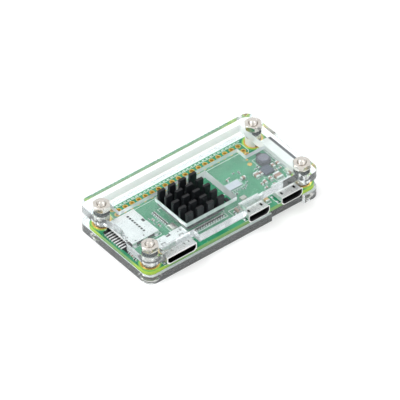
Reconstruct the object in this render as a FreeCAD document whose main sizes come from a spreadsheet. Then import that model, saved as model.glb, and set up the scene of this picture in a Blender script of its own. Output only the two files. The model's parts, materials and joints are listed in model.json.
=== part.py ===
import FreeCAD, Part
import os
import Sketcher

# A 65 x 30 mm single board computer bolted between two clear acrylic plates.
#
# Drawing datum: the circuit board's front left corner in plan, and the case's resting face in height,
# with X along the long edge, Y towards the header row and Z up. Every sub-part is drawn from that datum,
# and its Placement carries it to the part's own frame, whose origin is the middle of the footprint.

DOC = FreeCAD.newDocument("SingleBoardComputer")
UP = FreeCAD.Vector(0, 0, 1)
ORIGIN = (-1, 1)  # the sketcher's own name for a sketch's origin point


# ---------------------------------------------------------------- sizes

class Size:
    """A length that is known both as a number and as a formula of spreadsheet cells."""

    def __init__(self, value, text):
        self.value = value
        self.text = text

    def join(self, other, sign, value):
        return Size(value, f"({self.text} {sign} {size(other).text})")

    def __add__(self, other):
        return self.join(other, "+", self.value + size(other).value)

    def __sub__(self, other):
        return self.join(other, "-", self.value - size(other).value)

    def __mul__(self, factor):
        return self.join(factor, "*", self.value * size(factor).value)

    def __truediv__(self, factor):
        return self.join(factor, "/", self.value / size(factor).value)

    def __radd__(self, other):
        return size(other) + self

    def __rsub__(self, other):
        return size(other) - self

    def __rmul__(self, other):
        return size(other) * self

    def __neg__(self):
        return self * -1


def size(number):
    """A plain number as a Size, and a Size as itself."""
    return number if isinstance(number, Size) else Size(float(number), f"{number}")


def fill_sheet(name, values):
    """Put the values into a new spreadsheet, one aliased row each, and give them back as Sizes."""
    sheet = DOC.addObject("Spreadsheet::Sheet", name)
    for row, (alias, value) in enumerate(values.items(), start=1):
        sheet.set(f"A{row}", alias)
        sheet.set(f"B{row}", str(value))
        sheet.setAlias(f"B{row}", alias)
    DOC.recompute()
    return {alias: Size(float(value), f"{name}.{alias}") for alias, value in values.items()}


DIMS = fill_sheet("Dims", {
    # circuit board
    "board_length": 65, "board_width": 30, "board_thickness": 1.4, "board_corner": 3,
    "hole_inset": 3.5, "hole_radius": 1.375, "ring_radius": 3.0, "copper": 0.05,
    # header row of plated holes
    "pitch": 2.54, "header_columns": 20, "header_rows": 2, "header_x": 8.37, "header_y": 25.23,
    "eyelet_bore": 0.5, "eyelet_barrel": 0.65, "eyelet_ring": 0.87,
    # acrylic plates
    "plate_thickness": 2.9, "side_margin": 0.25, "front_margin": 0.9, "rear_margin": 3.3,
    "plate_corner": 3, "plate_hole": 1.35,
    "foot_recess_left": 46.5, "foot_recess_right": 59.2, "foot_recess_back": 0.4,
    "hdmi_notch_left": 5.95, "hdmi_notch_right": 18.85, "hdmi_notch_back": 2.0,
    "usb_notch_left": 36.8, "usb_notch_right": 59.05, "usb_notch_back": 2.1,
    "window_left": 18.8, "window_right": 38.05, "window_front": 5.3, "window_back": 20.4,
    "slot_left": 6.6, "slot_right": 59.2, "slot_front": 22.1, "slot_back": 30.1,
    "slot_step_left": 51.7, "slot_step_front": 18.1,
    "scoop_radius": 11, "scoop_depth": 2.65, "scoop_y": 16.9,
    # fasteners
    "spacer_height": 2.9, "spacer_radius": 2.5, "screw_radius": 1.25, "head_radius": 2.35,
    "screw_stand": 1.15, "tip_chamfer": 0.4, "recess_reach": 1.25, "recess_width": 0.5,
    "recess_depth": 0.8,
    "nut_flats": 5.0, "nut_height": 2.0, "nut_chamfer": 0.35, "nut_shoulder": 0.14, "nut_mouth": 0.32,
    # processor stack and heat sink
    "chip_x": 26.5, "chip_y": 12.8, "chip_side": 12, "chip_height": 0.75, "memory_height": 0.5,
    "thermal_pad": 0.15, "sink_side": 14.2, "sink_top": 8.5, "sink_base": 1.2,
    "fin_columns": 4, "fin_rows": 5, "column_gap": 1.53, "row_gap": 2.3,
    # mini video socket
    "hdmi_x": 12.4, "hdmi_half": 5.6, "hdmi_height": 2.85, "hdmi_front": 0.6, "hdmi_back": 6.9,
    "hdmi_wall": 0.35, "hdmi_chamfer": 0.75,
    # micro sockets
    "usb_data_x": 41.4, "usb_power_x": 54.0, "usb_half": 3.75, "usb_height": 2.5, "usb_front": 0.7,
    "usb_back": 4.4, "usb_wall": 0.3, "usb_chamfer": 0.85, "usb_lip": 0.5, "usb_flare": 0.28,
    # memory card socket
    "card_left": 2.8, "card_right": 12.7, "card_front": 10.8, "card_back": 23.0, "card_height": 1.4,
    "card_wall": 0.2, "card_tab": 1.6, "card_mouth": 1.0,
    "card_contacts": 8, "card_contact_y": 13.6, "card_pitch": 1.1,
    # camera socket
    "camera_left": 61.1, "camera_right": 64.1, "camera_front": 7, "camera_back": 23,
    "camera_height": 1.5, "camera_pitch": 0.5, "camera_contacts": 22,
    "latch_gap": 0.08, "latch_end": 65.2, "latch_arm": 0.9,
})

# where the small components' middles stand on the board
PLACES = fill_sheet("Places", {
    "wireless_x": 43.2, "wireless_y": 13.4,
    "regulator_x": 55.3, "regulator_y": 12.4,
    "inductor_x": 57.2, "inductor_y": 16.4,
    "main_crystal_x": 17.6, "main_crystal_y": 10.5,
    "radio_crystal_x": 42.0, "radio_crystal_y": 7.2,
    "fuse_x": 47.6, "fuse_y": 3.2,
    "lamp_x": 60.2, "lamp_y": 8.6,
    "antenna_x": 37.0, "antenna_y": 4.1,
    "block_x": 56.3, "block_y": 8.3,
    "round_pad_x": 53.3, "round_pad_y": 18.0,
    "spare_hole_x": 56.5, "spare_hole_y": 23.4,
    "left_row_x": 17.1, "left_row_y": 12.7, "left_row_step": 0.87, "left_row_count": 8,
    "front_row_x": 22.0, "front_row_y": 4.9, "front_row_step": 0.94, "front_row_count": 12,
})

# outlines of the packages: length, width and height
CASES = fill_sheet("Cases", {
    "tiny_length": 0.6, "tiny_width": 0.3, "tiny_height": 0.3,
    "small_length": 1.0, "small_width": 0.5, "small_height": 0.5,
    "medium_length": 1.6, "medium_width": 0.85, "medium_height": 0.8,
    "large_length": 2.0, "large_width": 1.3, "large_height": 1.0,
    "terminal_share": 0.24, "terminal_proud": 0.02,
    "crystal_length": 2.5, "crystal_width": 2.0, "crystal_height": 0.7,
    "radio_length": 1.9, "radio_width": 1.5, "radio_height": 0.65,
    "block_length": 2.5, "block_width": 2.2, "block_height": 1.0,
    "logic_length": 1.6, "logic_width": 1.2, "logic_height": 0.6,
    "wireless_length": 5.0, "wireless_width": 2.6, "wireless_height": 0.45,
    "regulator_length": 3.3, "regulator_width": 3.5, "regulator_height": 0.85,
    "inductor_side": 4.0, "inductor_height": 1.5, "drum_radius": 1.6, "drum_top": 1.8,
    "inductor_cut": 0.8,
})

board_bottom = DIMS["plate_thickness"] + DIMS["copper"]
board_top = board_bottom + DIMS["board_thickness"]
cover_bottom = board_top + DIMS["spacer_height"]
cover_top = cover_bottom + DIMS["plate_thickness"]
hole_span_x = DIMS["board_length"] - 2 * DIMS["hole_inset"]
hole_span_y = DIMS["board_width"] - 2 * DIMS["hole_inset"]
middle_x = DIMS["board_length"] / 2
middle_y = (DIMS["board_width"] + DIMS["rear_margin"] - DIMS["usb_front"] - DIMS["usb_lip"]) / 2


def bind(thing, prop, amount):
    """Drive a property by a formula of cells, or by a plain number."""
    thing.setExpression(prop, size(amount).text)


# ---------------------------------------------------------------- sub-parts and primitives

NODES = []


def seat(node, label, x=0, y=0, z=0):
    """Name a sub-part, and place it from the drawing datum into the part's frame."""
    node.Label = label
    bind(node, "Placement.Base.x", x - middle_x)
    bind(node, "Placement.Base.y", y - middle_y)
    bind(node, "Placement.Base.z", z)
    NODES.append(node)
    return node


def group(label, pieces):
    """A sub-part made of separate solids."""
    compound = DOC.addObject("Part::Compound", label)
    compound.Links = pieces
    return seat(compound, label)


def block(name, x, y, z):
    """A box between the low and high values given for each axis."""
    solid = DOC.addObject("Part::Box", name)
    for axis, side, (low, high) in zip("xyz", ("Length", "Width", "Height"), (x, y, z)):
        bind(solid, side, size(high) - low)
        bind(solid, f"Placement.Base.{axis}", size(low))
    return solid


def around(middle, width):
    """The low and high values of a width centred on a middle."""
    return middle - width / 2, middle + width / 2


def disc(name, x, y, z, radius):
    """A round bar standing between the low and high values given for Z."""
    low, high = z
    solid = DOC.addObject("Part::Cylinder", name)
    bind(solid, "Radius", radius)
    bind(solid, "Height", size(high) - low)
    for axis, amount in zip("xyz", (x, y, low)):
        bind(solid, f"Placement.Base.{axis}", size(amount))
    return solid


def cut(name, base, tool):
    """One shape less another."""
    result = DOC.addObject("Part::Cut", name)
    result.Base = base
    result.Tool = tool
    return result


def fuse(name, pieces):
    """Several touching shapes as one solid."""
    result = DOC.addObject("Part::MultiFuse", name)
    result.Shapes = pieces
    return result


# ---------------------------------------------------------------- sketches and bodies

def new_body(name):
    """An empty body that may hold several separate solids."""
    body = DOC.addObject("PartDesign::Body", name)
    body.AllowCompound = True
    return body


def datum(body, role):
    """One of a body's own origin planes or axes, by its role."""
    return next(item for item in body.Origin.OriginFeatures if item.Role == role)


def new_sketch(body, name, role="XY_Plane", height=0):
    """A sketch on a body's own plane, lifted along the plane's normal by a height."""
    sketch = body.newObject("Sketcher::SketchObject", name)
    sketch.AttachmentSupport = [(datum(body, role), "")]
    sketch.MapMode = "FlatFace"
    bind(sketch, "AttachmentOffset.Base.z", size(height))
    return sketch


def pin_point(sketch, index, point, place):
    """Dimension one point of a sketch from the sketch's origin."""
    for kind, amount in zip(("DistanceX", "DistanceY"), place):
        amount = size(amount)
        rule = Sketcher.Constraint(kind, *ORIGIN, index, point, amount.value)
        number = sketch.addConstraint(rule)
        sketch.setExpression(f"Constraints[{number}]", amount.text)


def draw_polygon(sketch, places):
    """A closed outline through the places, each dimensioned from the sketch's origin."""
    start = sketch.GeometryCount
    points = [FreeCAD.Vector(size(x).value, size(y).value, 0) for x, y in places]
    for first, second in zip(points, points[1:] + points[:1]):
        sketch.addGeometry(Part.LineSegment(first, second), False)
    count = len(places)
    for step in range(count):
        after = start + (step + 1) % count
        sketch.addConstraint(Sketcher.Constraint("Coincident", start + step, 2, after, 1))
    for step, place in enumerate(places):
        pin_point(sketch, start + step, 1, place)


def draw_rectangle(sketch, x, y):
    """A rectangle between the low and high values given for each axis."""
    draw_polygon(sketch, [(x[0], y[0]), (x[1], y[0]), (x[1], y[1]), (x[0], y[1])])


def draw_circle(sketch, x, y, radius):
    """A circle with its centre and radius dimensioned."""
    x, y, radius = size(x), size(y), size(radius)
    circle = Part.Circle(FreeCAD.Vector(x.value, y.value, 0), UP, radius.value)
    index = sketch.addGeometry(circle, False)
    number = sketch.addConstraint(Sketcher.Constraint("Radius", index, radius.value))
    sketch.setExpression(f"Constraints[{number}]", radius.text)
    pin_point(sketch, index, 3, (x, y))


def pad(body, sketch, length, backwards=False):
    """Material raised from a sketch along its normal, or the other way."""
    feature = body.newObject("PartDesign::Pad", f"{sketch.Name}_pad")
    feature.Profile = sketch
    bind(feature, "Length", length)
    feature.Reversed = backwards
    DOC.recompute()
    return feature


def pocket(body, sketch, depth=None, backwards=False):
    """Material removed under a sketch to a depth, or both ways through everything."""
    feature = body.newObject("PartDesign::Pocket", f"{sketch.Name}_pocket")
    feature.Profile = sketch
    if depth is None:
        feature.Type = "ThroughAll"
        feature.Midplane = True
    else:
        bind(feature, "Length", depth)
        feature.Reversed = backwards
    before = body.Shape.Volume
    DOC.recompute()
    if feature.Shape.Volume >= before:
        raise RuntimeError(f"{feature.Name} removed nothing")
    return feature


def revolve(body, sketch):
    """Material turned about the sketch's vertical axis."""
    feature = body.newObject("PartDesign::Revolution", f"{sketch.Name}_turned")
    feature.Profile = sketch
    feature.ReferenceAxis = (sketch, ["V_Axis"])
    feature.Angle = 360
    DOC.recompute()
    return feature


def line_of(body, name, role, count, spacing):
    """A pattern of a number of copies at one spacing along a body's own axis."""
    pattern = body.newObject("PartDesign::LinearPattern", name)
    pattern.Direction = (datum(body, role), [""])
    pattern.Mode = "Spacing"
    bind(pattern, "Occurrences", count)
    bind(pattern, "Offset", spacing)
    return pattern


def repeat(body, feature, role, count, spacing):
    """A feature repeated along one axis."""
    pattern = line_of(body, f"{feature.Name}_row", role, count, spacing)
    pattern.Originals = [feature]
    body.Tip = pattern
    DOC.recompute()
    return pattern


def repeat_grid(body, feature, along_x, along_y):
    """A feature repeated in a grid: each direction is given as its count and spacing."""
    grid = body.newObject("PartDesign::MultiTransform", f"{feature.Name}_grid")
    grid.Originals = [feature]
    grid.Transformations = [line_of(body, f"{feature.Name}_columns", "X_Axis", *along_x),
                            line_of(body, f"{feature.Name}_rows", "Y_Axis", *along_y)]
    body.Tip = grid
    DOC.recompute()
    return grid


def edges_where(feature, test):
    """The names of a feature's edges whose middle point and length pass a test."""
    names = []
    for number, edge in enumerate(feature.Shape.Edges, start=1):
        if test(edge):
            names.append(f"Edge{number}")
    return names


def is_upright(edge):
    """True for a straight edge that runs along Z."""
    if not isinstance(edge.Curve, Part.Line):
        return False
    return abs(edge.Curve.Direction.z) > 0.99


def round_edges(body, feature, names, radius):
    """A fillet of one radius on the named edges."""
    fillet = body.newObject("PartDesign::Fillet", f"{feature.Name}_rounded")
    fillet.Base = (feature, names)
    bind(fillet, "Radius", radius)
    DOC.recompute()
    return fillet


def at_corner(x, y):
    """A test for the upright edge that stands over one place in plan."""
    def test(edge):
        middle = edge.CenterOfMass
        return is_upright(edge) and abs(middle.x - x) < 0.01 and abs(middle.y - y) < 0.01
    return test


def round_rectangle_corners(body, feature, x, y, radius):
    """Round the four corners of a plate whose outline spans the given X and Y."""
    names = []
    for across in x:
        for along in y:
            names += edges_where(feature, at_corner(size(across).value, size(along).value))
    return round_edges(body, feature, names, radius)


# ---------------------------------------------------------------- acrylic case

PLATE_X = (-DIMS["side_margin"], DIMS["board_length"] + DIMS["side_margin"])
PLATE_Y = (-DIMS["front_margin"], DIMS["board_width"] + DIMS["rear_margin"])
HOLES = [(x, y) for x in (DIMS["hole_inset"], DIMS["board_length"] - DIMS["hole_inset"])
         for y in (DIMS["hole_inset"], DIMS["board_width"] - DIMS["hole_inset"])]


def notch(left, right, back):
    """The points of one rectangular notch in a plate's front edge, from left to right."""
    front = PLATE_Y[0]
    return [(left, front), (left, back), (right, back), (right, front)]


def plate_outline(notches):
    """The corners of a plate, anticlockwise from the front left, with notches in its front edge."""
    points = [(PLATE_X[0], PLATE_Y[0])]
    for one in notches:
        points += one
    return points + [(PLATE_X[1], PLATE_Y[0]), (PLATE_X[1], PLATE_Y[1]), (PLATE_X[0], PLATE_Y[1])]


def build_bottom_plate():
    """The base: four countersunk holes, and a recess that clears a plug under the power socket."""
    body = new_body("BottomPlate")
    outline = new_sketch(body, "base_outline")
    recess = notch(DIMS["foot_recess_left"], DIMS["foot_recess_right"], DIMS["foot_recess_back"])
    draw_polygon(outline, plate_outline([recess]))
    plate = pad(body, outline, DIMS["plate_thickness"])
    plate = round_rectangle_corners(body, plate, PLATE_X, PLATE_Y, DIMS["plate_corner"])
    holes = new_sketch(body, "base_holes")
    for x, y in HOLES:
        draw_circle(holes, x, y, DIMS["plate_hole"])
    drilled = pocket(body, holes)

    def is_bottom_rim(edge):
        return isinstance(edge.Curve, Part.Circle) and len(edge.Vertexes) == 1 and edge.CenterOfMass.z < 0.01

    sink = body.newObject("PartDesign::Chamfer", "base_countersinks")
    sink.Base = (drilled, edges_where(drilled, is_bottom_rim))
    bind(sink, "Size", DIMS["head_radius"] + 0.05 - DIMS["plate_hole"])
    DOC.recompute()
    seat(body, "bottom_plate")


def build_top_plate():
    """The cover: socket notches, heat-sink window, header slot and a finger scoop over the card."""
    body = new_body("TopPlate")
    outline = new_sketch(body, "cover_outline", height=cover_bottom)
    notches = [notch(DIMS["hdmi_notch_left"], DIMS["hdmi_notch_right"], DIMS["hdmi_notch_back"]),
               notch(DIMS["usb_notch_left"], DIMS["usb_notch_right"], DIMS["usb_notch_back"])]
    draw_polygon(outline, plate_outline(notches))
    plate = pad(body, outline, DIMS["plate_thickness"])
    round_rectangle_corners(body, plate, PLATE_X, PLATE_Y, DIMS["plate_corner"])

    holes = new_sketch(body, "cover_holes", height=cover_bottom)
    for x, y in HOLES:
        draw_circle(holes, x, y, DIMS["plate_hole"])
    pocket(body, holes)

    windows = new_sketch(body, "cover_windows", height=cover_bottom)
    draw_rectangle(windows, (DIMS["window_left"], DIMS["window_right"]),
                   (DIMS["window_front"], DIMS["window_back"]))
    left, right, back = DIMS["slot_left"], DIMS["slot_right"], DIMS["slot_back"]
    front, step_x, step_y = DIMS["slot_front"], DIMS["slot_step_left"], DIMS["slot_step_front"]
    draw_polygon(windows, [(left, front), (step_x, front), (step_x, step_y), (right, step_y),
                           (right, back), (left, back)])
    pocket(body, windows)

    scoop = new_sketch(body, "cover_scoop", height=cover_bottom)
    draw_circle(scoop, PLATE_X[0] + DIMS["scoop_depth"] - DIMS["scoop_radius"], DIMS["scoop_y"],
                DIMS["scoop_radius"])
    pocket(body, scoop)
    seat(body, "top_plate")


def turned_group(label, profile, z=0):
    """One turned piece at each of the four screw axes."""
    body = new_body(label.title().replace("_", ""))
    sketch = new_sketch(body, f"{label}_profile", "XZ_Plane")
    draw_polygon(sketch, profile)
    turned = revolve(body, sketch)
    repeat_grid(body, turned, (2, hole_span_x), (2, hole_span_y))
    return seat(body, label, DIMS["hole_inset"], DIMS["hole_inset"], z)


def build_spacers():
    """Clear tubes between the board and the cover."""
    inner, outer = DIMS["plate_hole"], DIMS["spacer_radius"]
    ring = DIMS["copper"]
    height = DIMS["spacer_height"]
    turned_group("case_spacers", [(inner, ring), (outer, ring), (outer, height), (inner, height)],
                 board_top)


def screw_recess(x, y):
    """The cross-shaped driver recess in one screw's head."""
    reach, width, depth = DIMS["recess_reach"], DIMS["recess_width"], DIMS["recess_depth"]
    return [block("recess", around(x, 2 * reach), around(y, width), (0, depth)),
            block("recess", around(x, width), around(y, 2 * reach), (0, depth))]


def build_screws():
    """Countersunk screws from under the base, up through the nuts."""
    head, shank, tip = DIMS["head_radius"], DIMS["screw_radius"], DIMS["tip_chamfer"]
    end = cover_top + DIMS["nut_height"] + DIMS["screw_stand"]
    screws = []
    for x, y in HOLES:
        cone = DOC.addObject("Part::Cone", "screw_head")
        bind(cone, "Radius1", head)
        bind(cone, "Radius2", shank)
        bind(cone, "Height", head - shank)
        point = DOC.addObject("Part::Cone", "screw_tip")
        bind(point, "Radius1", shank)
        bind(point, "Radius2", shank - tip)
        bind(point, "Height", tip)
        bind(point, "Placement.Base.z", end - tip)
        for turned in (cone, point):
            bind(turned, "Placement.Base.x", x)
            bind(turned, "Placement.Base.y", y)
        bar = disc("screw_shank", x, y, (0.5 * (head - shank), end - tip), shank)
        whole = fuse("screw_whole", [cone, bar, point])
        screws.append(cut("screw", whole, fuse("screw_cross", screw_recess(x, y))))
    group("case_screws", screws)


def build_nuts():
    """Hexagon nuts, chamfered on both faces, with a countersunk mouth at the top of the thread."""
    height, flats, rim = DIMS["nut_height"], DIMS["nut_flats"], DIMS["nut_chamfer"]
    corner = flats / 3 ** 0.5
    nuts = []
    for x, y in HOLES:
        prism = DOC.addObject("Part::Prism", "nut_prism")
        prism.Polygon = 6
        bind(prism, "Circumradius", corner)
        bind(prism, "Height", height)
        bevel = DOC.addObject("Part::Cone", "nut_bevel")
        under = DOC.addObject("Part::Cone", "nut_under")
        narrow = flats / 2 - DIMS["nut_shoulder"]
        wide = narrow + height / rim * (corner - narrow)
        for cone, low, high in ((bevel, wide, narrow), (under, narrow, wide)):
            bind(cone, "Radius1", low)
            bind(cone, "Radius2", high)
            bind(cone, "Height", height)
        for piece in (prism, bevel, under):
            bind(piece, "Placement.Base.x", x)
            bind(piece, "Placement.Base.y", y)
            bind(piece, "Placement.Base.z", cover_top)
        shaped = DOC.addObject("Part::MultiCommon", "nut_shaped")
        shaped.Shapes = [prism, bevel, under]
        bore = disc("nut_bore", x, y, (cover_top - 1, cover_top + height + 1), DIMS["screw_radius"])
        mouth = DOC.addObject("Part::Cone", "nut_mouth")
        bind(mouth, "Radius1", DIMS["screw_radius"])
        bind(mouth, "Radius2", DIMS["screw_radius"] + DIMS["nut_mouth"])
        bind(mouth, "Height", DIMS["nut_mouth"])
        bind(mouth, "Placement.Base.x", x)
        bind(mouth, "Placement.Base.y", y)
        bind(mouth, "Placement.Base.z", cover_top + height - DIMS["nut_mouth"])
        nuts.append(cut("nut", shaped, fuse("nut_hollow", [bore, mouth])))
    group("case_nuts", nuts)


# ---------------------------------------------------------------- circuit board

def build_board():
    """The glass-fibre board with four mounting holes and two rows of header holes."""
    body = new_body("CircuitBoard")
    outline = new_sketch(body, "board_outline", height=board_bottom)
    span_x, span_y = (size(0), DIMS["board_length"]), (size(0), DIMS["board_width"])
    draw_rectangle(outline, span_x, span_y)
    plate = pad(body, outline, DIMS["board_thickness"])
    round_rectangle_corners(body, plate, span_x, span_y, DIMS["board_corner"])
    holes = new_sketch(body, "board_holes", height=board_bottom)
    for x, y in HOLES:
        draw_circle(holes, x, y, DIMS["hole_radius"])
    draw_circle(holes, PLACES["spare_hole_x"], PLACES["spare_hole_y"], DIMS["eyelet_barrel"])
    pocket(body, holes)
    header = new_sketch(body, "header_hole", height=board_bottom)
    draw_circle(header, DIMS["header_x"], DIMS["header_y"], DIMS["eyelet_barrel"])
    repeat_grid(body, pocket(body, header), (DIMS["header_columns"], DIMS["pitch"]),
                (DIMS["header_rows"], DIMS["pitch"]))
    seat(body, "circuit_board")


def eyelet_profile():
    """Half the section of a plated hole: a barrel with a flat ring on each face of the board."""
    bore, barrel, ring = DIMS["eyelet_bore"], DIMS["eyelet_barrel"], DIMS["eyelet_ring"]
    thick, skin = DIMS["board_thickness"], DIMS["copper"]
    return [(bore, -skin), (ring, -skin), (ring, 0), (barrel, 0), (barrel, thick), (ring, thick),
            (ring, thick + skin), (bore, thick + skin)]


def build_eyelets():
    """The forty plated holes of the header rows, and the spare plated hole beside them."""
    body = new_body("HeaderEyelets")
    sketch = new_sketch(body, "eyelet_profile", "XZ_Plane")
    draw_polygon(sketch, eyelet_profile())
    turned = revolve(body, sketch)
    repeat_grid(body, turned, (DIMS["header_columns"], DIMS["pitch"]), (DIMS["header_rows"], DIMS["pitch"]))
    seat(body, "header_eyelets", DIMS["header_x"], DIMS["header_y"], board_bottom)

    spare = new_body("SpareEyelet")
    sketch = new_sketch(spare, "spare_eyelet_profile", "XZ_Plane")
    draw_polygon(sketch, eyelet_profile())
    revolve(spare, sketch)
    seat(spare, "spare_eyelet", PLACES["spare_hole_x"], PLACES["spare_hole_y"], board_bottom)


def build_mounting_rings():
    """Bare plated rings round the mounting holes, on both faces of the board."""
    skin = DIMS["copper"]
    rings = []
    for x, y in HOLES:
        for low in (board_top, board_bottom - skin):
            flat = disc("ring_flat", x, y, (low, low + skin), DIMS["ring_radius"])
            hole = disc("ring_hole", x, y, (low - skin, low + 2 * skin), DIMS["hole_radius"])
            rings.append(cut("mounting_ring", flat, hole))
    group("mounting_rings", rings)


def build_test_pads():
    """Bare gold pads: one round and two square on the face, and rows of round ones underneath."""
    skin = DIMS["copper"]
    face, under = (board_top, board_top + skin), (board_bottom - skin, board_bottom)
    pads = [disc("pad", PLACES["round_pad_x"], PLACES["round_pad_y"], face, 0.75)]
    for x, y in ((53.9, 20.1), (55.3, 21.4)):
        pads.append(block("pad", around(x, 0.7), around(y, 0.7), face))
    for x, y in ((9, 8), (12, 8), (9, 12), (14, 18), (22, 21), (30, 8), (38, 17), (41, 6), (45, 6),
                 (51, 6), (55, 6), (48, 18), (58, 12), (58, 20)):
        pads.append(disc("pad", size(x), size(y), under, 0.6))
    group("test_pads", pads)


# ---------------------------------------------------------------- processor and heat sink

def build_processor():
    """Processor, the memory stacked on it, and the adhesive pad under the heat sink."""
    side = DIMS["chip_side"]
    plan = around(DIMS["chip_x"], side), around(DIMS["chip_y"], side)
    low = board_top
    for name, height in (("processor", DIMS["chip_height"]), ("memory_package", DIMS["memory_height"]),
                         ("heat_sink_pad", DIMS["thermal_pad"])):
        group(name, [block(f"{name}_slab", *plan, (low, low + height))])
        low = low + height
    return low


def build_heat_sink(low):
    """A block sawn one way into columns and the other way into rows, which leaves square pins."""
    side, top, base = DIMS["sink_side"], board_top + DIMS["sink_top"], DIMS["sink_base"]
    x, y = around(DIMS["chip_x"], side), around(DIMS["chip_y"], side)
    body = new_body("HeatSink")
    outline = new_sketch(body, "sink_outline", height=low)
    draw_rectangle(outline, x, y)
    pad(body, outline, top - low)

    gap, count = DIMS["column_gap"], DIMS["fin_columns"]
    fin = (side - gap * (count - 1)) / count
    lengthwise = new_sketch(body, "sink_column_cut", height=top)
    draw_rectangle(lengthwise, (x[0] + fin, x[0] + fin + gap), (y[0] - 1, y[1] + 1))
    depth = top - low - base
    repeat(body, pocket(body, lengthwise, depth), "X_Axis", count - 1, fin + gap)

    gap, count = DIMS["row_gap"], DIMS["fin_rows"]
    fin = (side - gap * (count - 1)) / count
    crosswise = new_sketch(body, "sink_row_cut", height=top)
    draw_rectangle(crosswise, (x[0] - 1, x[1] + 1), (y[0] + fin, y[0] + fin + gap))
    repeat(body, pocket(body, crosswise, depth), "Y_Axis", count - 1, fin + gap)
    seat(body, "heat_sink")


# ---------------------------------------------------------------- sockets along the front edge

def socket_outline(sketch, middle, half, low, high, chamfer):
    """A socket mouth's outline: wide at the top, with the lower corners cut off."""
    draw_polygon(sketch, [(middle - half + chamfer, low), (middle + half - chamfer, low),
                          (middle + half, low + chamfer), (middle + half, high),
                          (middle - half, high), (middle - half, low + chamfer)])


def slit_row(body, name, top, wall, slits):
    """Small openings through a shell's top wall, each given as its X span and Y span."""
    sketch = new_sketch(body, name, height=top)
    for x, y in slits:
        draw_rectangle(sketch, x, y)
    return pocket(body, sketch, wall * 1.5)


def build_hdmi():
    """The mini video socket: folded shell, moulded insulator with its tongue, and contacts."""
    middle, half, wall = DIMS["hdmi_x"], DIMS["hdmi_half"], DIMS["hdmi_wall"]
    front, back = -DIMS["hdmi_front"], DIMS["hdmi_back"]
    low, high = board_top + 0.05, board_top + DIMS["hdmi_height"]
    chamfer = DIMS["hdmi_chamfer"]
    body = new_body("HdmiShell")
    outer = new_sketch(body, "hdmi_outer", "XZ_Plane", -front)
    socket_outline(outer, middle, half, low, high, chamfer)
    pad(body, outer, back - front, backwards=True)
    inner = new_sketch(body, "hdmi_inner", "XZ_Plane", -front)
    socket_outline(inner, middle, half - wall, low + wall, high - wall, chamfer)
    pocket(body, inner, back - front - wall)
    slits = [(around(middle + shift, 0.25), around(size(1.5), 0.9)) for shift in (-4.1, -2.3, 2.4, 4.1)]
    for shift in (-3.3, 3.3):
        spring, lift = middle + shift, size(3.7)
        slits.append((around(spring, 1.5), around(lift + 0.55, 0.3)))
        slits.append((around(spring - 0.62, 0.26), around(lift - 0.05, 0.9)))
        slits.append((around(spring + 0.62, 0.26), around(lift - 0.05, 0.9)))
    for shift in (-3.5, 3.3, 4.3):
        slits.append((around(middle + shift, 0.25), around(size(5.7), 0.8)))
    slits.append((around(middle, 1.5), (size(5.6), size(7.5))))
    slit_row(body, "hdmi_slits", high, wall, slits)
    seat(body, "hdmi_shell")

    inset = wall + 0.02
    rear = block("hdmi_rear", around(middle, 2 * (half - inset)), (size(3.6), back - inset),
                 (low + chamfer + wall, high - inset))
    sill = block("hdmi_sill", around(middle, 2 * (half - inset - chamfer)), (size(3.6), back - inset),
                 (low + inset, high - inset))
    tongue_z = (low + 1.35, low + 2.05)
    tongue = block("hdmi_tongue", around(middle, 8.4), (size(0.35), size(3.7)), tongue_z)
    group("hdmi_insulator", [fuse("hdmi_moulding", [rear, sill, tongue])])
    strips = []
    for row, count in ((tongue_z[1], 10), (tongue_z[0] - DIMS["copper"], 9)):
        for step in range(count):
            shift = (step - (count - 1) / 2) * 0.8
            strips.append(block("hdmi_strip", around(middle + shift, 0.3), (size(0.5), size(3.6)),
                                (row, row + DIMS["copper"])))
    group("hdmi_contacts", strips)


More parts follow.
